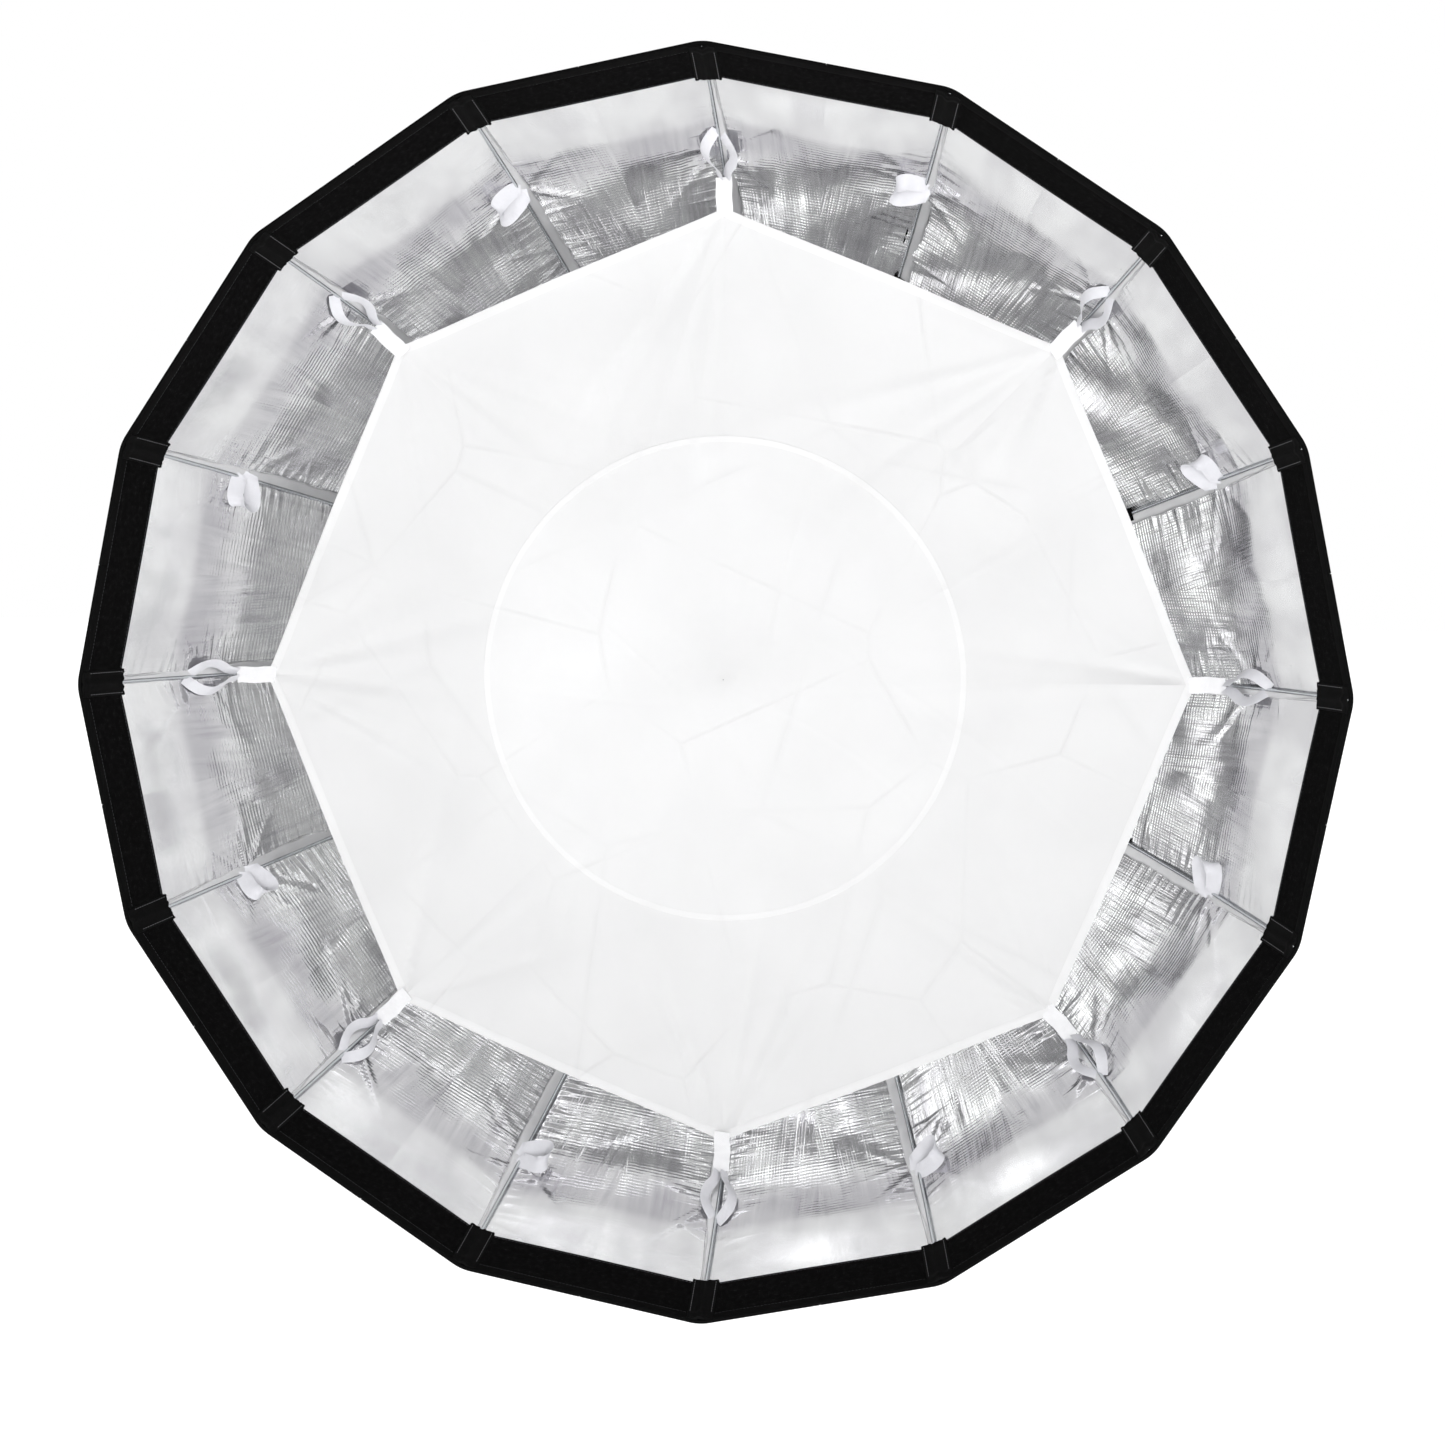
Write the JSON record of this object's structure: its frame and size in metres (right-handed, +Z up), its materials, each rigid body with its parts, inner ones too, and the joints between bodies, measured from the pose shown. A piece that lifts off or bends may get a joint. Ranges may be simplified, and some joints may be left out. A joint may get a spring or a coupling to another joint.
{
  "type": "studio softbox",
  "caption": "Deep round softbox with folding spring-steel ribs, a silver-lined canopy, a black rim band, an inner white diffuser and a rotating bayonet hub.",
  "frame": {"origin": "centre of the bayonet ring's mounting face, where the lamp head's front seats", "axes": "+Y along the optical axis away from the mouth, towards the lamp head; the mouth faces -Y; +Z up"},
  "size_m": [1.5026, 0.6741, 1.5026],
  "materials": {
    "hub_metal": "satin",
    "bright_metal": "satin",
    "fastener_steel": "satin",
    "rod_steel": "polished",
    "holder_plastic": "matte",
    "knob_plastic": "matte",
    "cover_plastic": "satin",
    "canopy_lining": "satin",
    "canopy_shell": "matte",
    "loop_tape": "matte",
    "diffuser_cloth": "matte",
    "tape_webbing": "matte"
  },
  "bodies": {
    "mount": {"bayonet_ring": "hub_metal", "retaining_ring": "bright_metal"},
    "hub": {"hub_ring": "hub_metal", "hub_back_plate": "hub_metal", "hub_front_cover": "cover_plastic", "cover_screws": "fastener_steel", "pivot_pins": "fastener_steel", "canopy_collar": "canopy_shell"},
    "release": {"release_ring": "holder_plastic"},
    "knob": {"lock_knob": "knob_plastic"},
    "diffuser": {"inner_diffuser": "diffuser_cloth", "corner_tapes": "tape_webbing"},
    "arm_1": {"rib_1": "rod_steel", "rib_holder_1": "holder_plastic", "canopy_panel_1": "canopy_lining"},
    "arm_2": {"rib_2": "rod_steel", "rib_holder_2": "holder_plastic", "canopy_panel_2": "canopy_lining"},
    "arm_3": {"rib_3": "rod_steel", "rib_holder_3": "holder_plastic", "canopy_panel_3": "canopy_lining"},
    "arm_4": {"rib_4": "rod_steel", "rib_holder_4": "holder_plastic", "canopy_panel_4": "canopy_lining"},
    "arm_5": {"rib_5": "rod_steel", "rib_holder_5": "holder_plastic", "canopy_panel_5": "canopy_lining"},
    "arm_6": {"rib_6": "rod_steel", "rib_holder_6": "holder_plastic", "canopy_panel_6": "canopy_lining"},
    "arm_7": {"rib_7": "rod_steel", "rib_holder_7": "holder_plastic", "canopy_panel_7": "canopy_lining"},
    "arm_8": {"rib_8": "rod_steel", "rib_holder_8": "holder_plastic", "canopy_panel_8": "canopy_lining"},
    "arm_9": {"rib_9": "rod_steel", "rib_holder_9": "holder_plastic", "canopy_panel_9": "canopy_lining"},
    "arm_10": {"rib_10": "rod_steel", "rib_holder_10": "holder_plastic", "canopy_panel_10": "canopy_lining"},
    "arm_11": {"rib_11": "rod_steel", "rib_holder_11": "holder_plastic", "canopy_panel_11": "canopy_lining"},
    "arm_12": {"rib_12": "rod_steel", "rib_holder_12": "holder_plastic", "canopy_panel_12": "canopy_lining"},
    "arm_13": {"rib_13": "rod_steel", "rib_holder_13": "holder_plastic", "canopy_panel_13": "canopy_lining"},
    "arm_14": {"rib_14": "rod_steel", "rib_holder_14": "holder_plastic", "canopy_panel_14": "canopy_lining"},
    "arm_15": {"rib_15": "rod_steel", "rib_holder_15": "holder_plastic", "canopy_panel_15": "canopy_lining"},
    "arm_16": {"rib_16": "rod_steel", "rib_holder_16": "holder_plastic", "canopy_panel_16": "canopy_lining"}
  },
  "joints": [
    {"name": "hub_turn", "type": "hinge", "parent": "mount", "child": "hub", "pos_m": [0, 0, 0], "axis": [0, 1, 0], "continuous": true},
    {"name": "release_turn", "type": "hinge", "parent": "hub", "child": "release", "pos_m": [0, 0, 0], "axis": [0, 1, 0], "range_deg": [0, 12], "stiffness_Nm_per_rad": 1.5, "springref_deg": -2.86},
    {"name": "knob_turn", "type": "hinge", "parent": "hub", "child": "knob", "pos_m": [0.10789, -0.0135, -0.02146], "axis": [0.9808, 0, -0.1951], "range_deg": [0, 180]},
    {"name": "fold_1", "type": "hinge", "parent": "hub", "child": "arm_1", "pos_m": [0, -0.015, 0.09], "axis": [1, 0, 0], "range_deg": [0, 45], "deforming": ["canopy_panel_1"]},
    {"name": "fold_2", "type": "hinge", "parent": "hub", "child": "arm_2", "pos_m": [0.03444, -0.015, 0.08315], "axis": [0.9239, 0, -0.3827], "range_deg": [0, 45], "deforming": ["canopy_panel_2"]},
    {"name": "fold_3", "type": "hinge", "parent": "hub", "child": "arm_3", "pos_m": [0.06364, -0.015, 0.06364], "axis": [0.7071, 0, -0.7071], "range_deg": [0, 45], "deforming": ["canopy_panel_3"]},
    {"name": "fold_4", "type": "hinge", "parent": "hub", "child": "arm_4", "pos_m": [0.08315, -0.015, 0.03444], "axis": [0.3827, 0, -0.9239], "range_deg": [0, 45], "deforming": ["canopy_panel_4"]},
    {"name": "fold_5", "type": "hinge", "parent": "hub", "child": "arm_5", "pos_m": [0.09, -0.015, 0], "axis": [0, 0, -1], "range_deg": [0, 45], "deforming": ["canopy_panel_5"]},
    {"name": "fold_6", "type": "hinge", "parent": "hub", "child": "arm_6", "pos_m": [0.08315, -0.015, -0.03444], "axis": [-0.3827, 0, -0.9239], "range_deg": [0, 45], "deforming": ["canopy_panel_6"]},
    {"name": "fold_7", "type": "hinge", "parent": "hub", "child": "arm_7", "pos_m": [0.06364, -0.015, -0.06364], "axis": [-0.7071, 0, -0.7071], "range_deg": [0, 45], "deforming": ["canopy_panel_7"]},
    {"name": "fold_8", "type": "hinge", "parent": "hub", "child": "arm_8", "pos_m": [0.03444, -0.015, -0.08315], "axis": [-0.9239, 0, -0.3827], "range_deg": [0, 45], "deforming": ["canopy_panel_8"]},
    {"name": "fold_9", "type": "hinge", "parent": "hub", "child": "arm_9", "pos_m": [0, -0.015, -0.09], "axis": [-1, 0, 0], "range_deg": [0, 45], "deforming": ["canopy_panel_9"]},
    {"name": "fold_10", "type": "hinge", "parent": "hub", "child": "arm_10", "pos_m": [-0.03444, -0.015, -0.08315], "axis": [-0.9239, 0, 0.3827], "range_deg": [0, 45], "deforming": ["canopy_panel_10"]},
    {"name": "fold_11", "type": "hinge", "parent": "hub", "child": "arm_11", "pos_m": [-0.06364, -0.015, -0.06364], "axis": [-0.7071, 0, 0.7071], "range_deg": [0, 45], "deforming": ["canopy_panel_11"]},
    {"name": "fold_12", "type": "hinge", "parent": "hub", "child": "arm_12", "pos_m": [-0.08315, -0.015, -0.03444], "axis": [-0.3827, 0, 0.9239], "range_deg": [0, 45], "deforming": ["canopy_panel_12"]},
    {"name": "fold_13", "type": "hinge", "parent": "hub", "child": "arm_13", "pos_m": [-0.09, -0.015, 0], "axis": [0, 0, 1], "range_deg": [0, 45], "deforming": ["canopy_panel_13"]},
    {"name": "fold_14", "type": "hinge", "parent": "hub", "child": "arm_14", "pos_m": [-0.08315, -0.015, 0.03444], "axis": [0.3827, 0, 0.9239], "range_deg": [0, 45], "deforming": ["canopy_panel_14"]},
    {"name": "fold_15", "type": "hinge", "parent": "hub", "child": "arm_15", "pos_m": [-0.06364, -0.015, 0.06364], "axis": [0.7071, 0, 0.7071], "range_deg": [0, 45], "deforming": ["canopy_panel_15"]},
    {"name": "fold_16", "type": "hinge", "parent": "hub", "child": "arm_16", "pos_m": [-0.03444, -0.015, 0.08315], "axis": [0.9239, 0, 0.3827], "range_deg": [0, 45], "deforming": ["canopy_panel_16"]},
    {"name": "diffuser_carry", "type": "slide", "parent": "hub", "child": "diffuser", "axis": [0, -1, 0], "range_m": [0, 0.2451], "deforming": ["inner_diffuser", "corner_tapes"]}
  ],
  "couplings": [
    {"joint": "fold_2", "follows": "fold_1", "ratio": 1},
    {"joint": "fold_3", "follows": "fold_1", "ratio": 1},
    {"joint": "fold_4", "follows": "fold_1", "ratio": 1},
    {"joint": "fold_5", "follows": "fold_1", "ratio": 1},
    {"joint": "fold_6", "follows": "fold_1", "ratio": 1},
    {"joint": "fold_7", "follows": "fold_1", "ratio": 1},
    {"joint": "fold_8", "follows": "fold_1", "ratio": 1},
    {"joint": "fold_9", "follows": "fold_1", "ratio": 1},
    {"joint": "fold_10", "follows": "fold_1", "ratio": 1},
    {"joint": "fold_11", "follows": "fold_1", "ratio": 1},
    {"joint": "fold_12", "follows": "fold_1", "ratio": 1},
    {"joint": "fold_13", "follows": "fold_1", "ratio": 1},
    {"joint": "fold_14", "follows": "fold_1", "ratio": 1},
    {"joint": "fold_15", "follows": "fold_1", "ratio": 1},
    {"joint": "fold_16", "follows": "fold_1", "ratio": 1},
    {"joint": "diffuser_carry", "follows": "fold_1", "m_per_rad": 0.31194}
  ]
}
